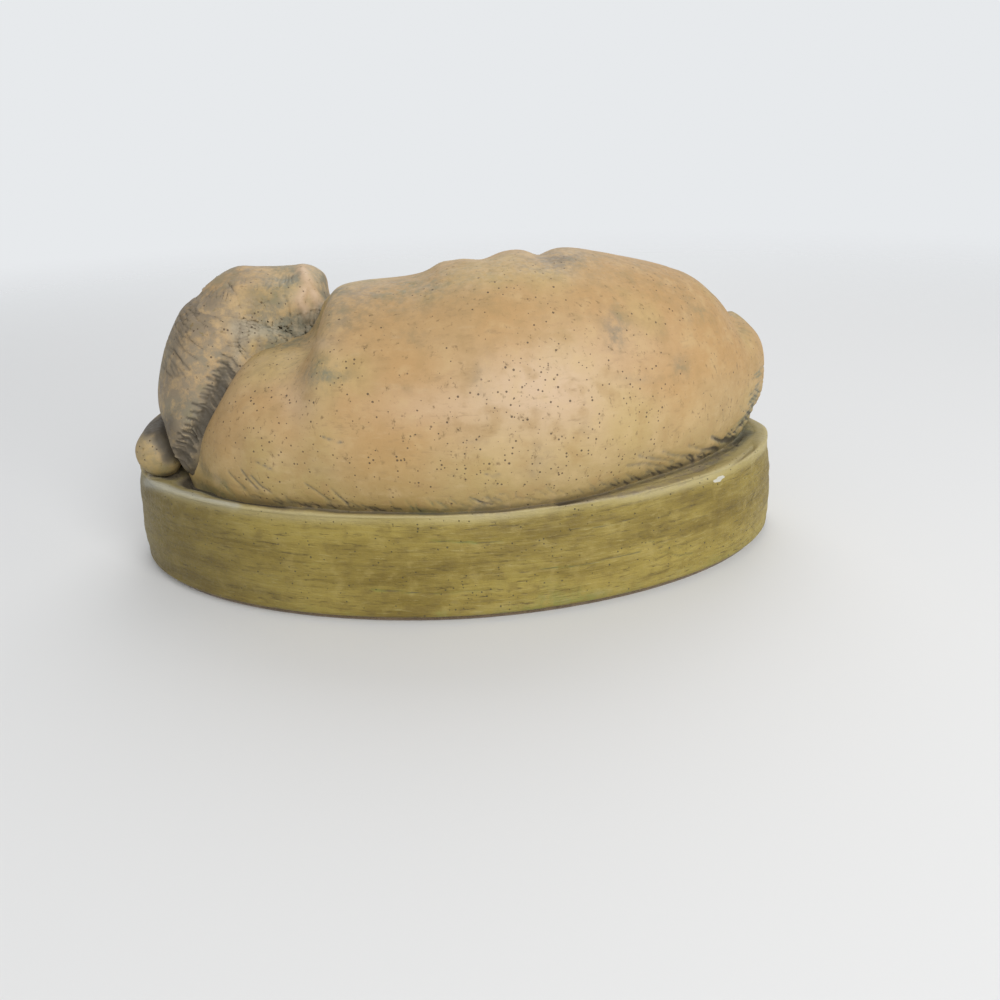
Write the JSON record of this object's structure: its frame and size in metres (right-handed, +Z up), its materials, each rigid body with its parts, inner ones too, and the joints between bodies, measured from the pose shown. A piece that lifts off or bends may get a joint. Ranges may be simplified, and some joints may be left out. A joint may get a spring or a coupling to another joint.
{
  "type": "dog figurine",
  "caption": "Sleeping puppy curled on an oval base with a round lip, cast in resin with an aged painted wash, on a felt pad.",
  "frame": {"origin": "centre of the footprint, on the underside of the felt pad", "axes": "+X along the oval base toward the puppy's rump, with the head at -X; +Y toward the puppy's face and paws, so its back faces -Y; +Z up"},
  "size_m": [0.1538, 0.0878, 0.0674],
  "materials": {
    "dog_resin": "cast resin, tan with an ochre shade low down and a dark wash in the creases, satin",
    "base_resin": "cast resin, olive and mustard with tooled streaks and a dark wash, satin",
    "felt": "short-pile felt"
  },
  "bodies": {
    "root": {"felt_pad": "felt", "base": "base_resin", "body": "dog_resin", "head": "dog_resin", "right_ear": "dog_resin", "left_ear": "dog_resin", "left_foreleg": "dog_resin", "right_foreleg": "dog_resin", "right_hind_leg": "dog_resin", "left_hind_leg": "dog_resin", "tail": "dog_resin"}
  },
  "joints": []
}
